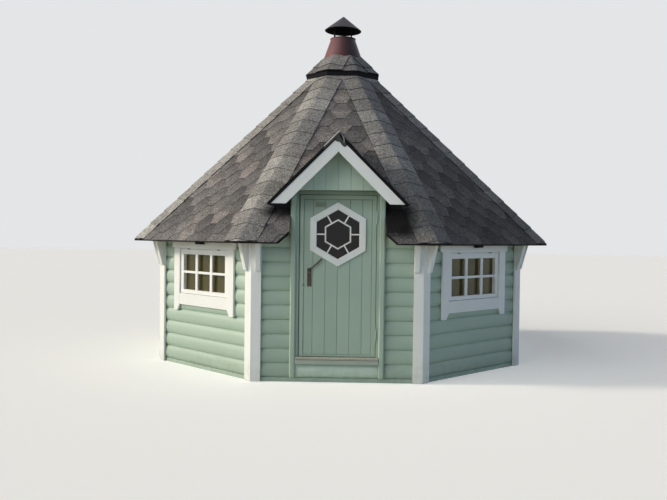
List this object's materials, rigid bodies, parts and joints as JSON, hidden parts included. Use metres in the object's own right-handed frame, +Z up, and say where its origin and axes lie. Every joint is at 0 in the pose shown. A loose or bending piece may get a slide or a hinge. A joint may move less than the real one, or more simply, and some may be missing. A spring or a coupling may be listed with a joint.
{
  "type": "grill cabin",
  "caption": "Octagonal log grill cabin with a steep shingled roof, smoke cap, small windows and a hinged front door under a dormer.",
  "frame": {"origin": "centre of the octagonal plan, on the ground under the base frame", "axes": "+Z up; the door faces -Y; +X to the right as seen from in front of the door"},
  "size_m": [4.7, 4.7, 4.23],
  "materials": {
    "green_paint": "satin paint",
    "white_paint": "satin paint",
    "bitumen_shingle": "mineral granules",
    "treated_timber": "rough sawn",
    "raw_timber": "sawn",
    "floor_boards": "planed",
    "weathered_timber": "weathered",
    "brown_coated_steel": "satin",
    "dark_coated_steel": "satin",
    "window_glass": "clear",
    "black_plastic": "matte",
    "painted_steel": "satin paint",
    "rusty_steel": "rusty",
    "black_steel": "matte"
  },
  "bodies": {
    "hut": {"front_wall_left": "green_paint", "front_wall_right": "green_paint", "doorstep_log": "green_paint", "wall_front_right": "green_paint", "wall_right": "green_paint", "wall_back_right": "green_paint", "wall_back": "green_paint", "wall_back_left": "green_paint", "wall_left": "green_paint", "wall_front_left": "green_paint", "door_frame": "green_paint", "door_pilasters": "green_paint", "gable_panel": "green_paint", "dormer_cheeks": "green_paint", "corner_boards": "white_paint", "eave_brackets": "white_paint", "bargeboards": "white_paint", "window_casings": "white_paint", "window_sashes": "white_paint", "roof_front": "bitumen_shingle", "roof_front_right": "bitumen_shingle", "roof_right": "bitumen_shingle", "roof_back_right": "bitumen_shingle", "roof_back": "bitumen_shingle", "roof_back_left": "bitumen_shingle", "roof_left": "bitumen_shingle", "roof_front_left": "bitumen_shingle", "dormer_roof_left": "bitumen_shingle", "dormer_roof_right": "bitumen_shingle", "roof_cap": "bitumen_shingle", "base_frame": "treated_timber", "floor_joists": "raw_timber", "top_ring": "raw_timber", "floor": "floor_boards", "threshold": "weathered_timber", "chimney_cone": "brown_coated_steel", "chimney_hat": "dark_coated_steel", "window_glass": "window_glass", "window_lamps": "black_plastic", "frame_hinges": "painted_steel"},
    "door": {"door_leaf": "green_paint", "hex_frame": "white_paint", "hex_muntins": "white_paint", "hex_glass": "window_glass", "door_hinges": "painted_steel", "handle_plate": "rusty_steel"},
    "lever": {"door_lever": "black_steel"}
  },
  "joints": [
    {"name": "door_hinge", "type": "hinge", "parent": "hut", "child": "door", "pos_m": [0.3865, -2.078, 0], "axis": [0, 0, 1], "range_deg": [0, 90]},
    {"name": "lever_pivot", "type": "hinge", "parent": "door", "child": "lever", "pos_m": [-0.281, -2.07, 1.131], "axis": [0, 1, 0], "range_deg": [0, 40], "stiffness_Nm_per_rad": 1, "springref_deg": -20.05}
  ]
}
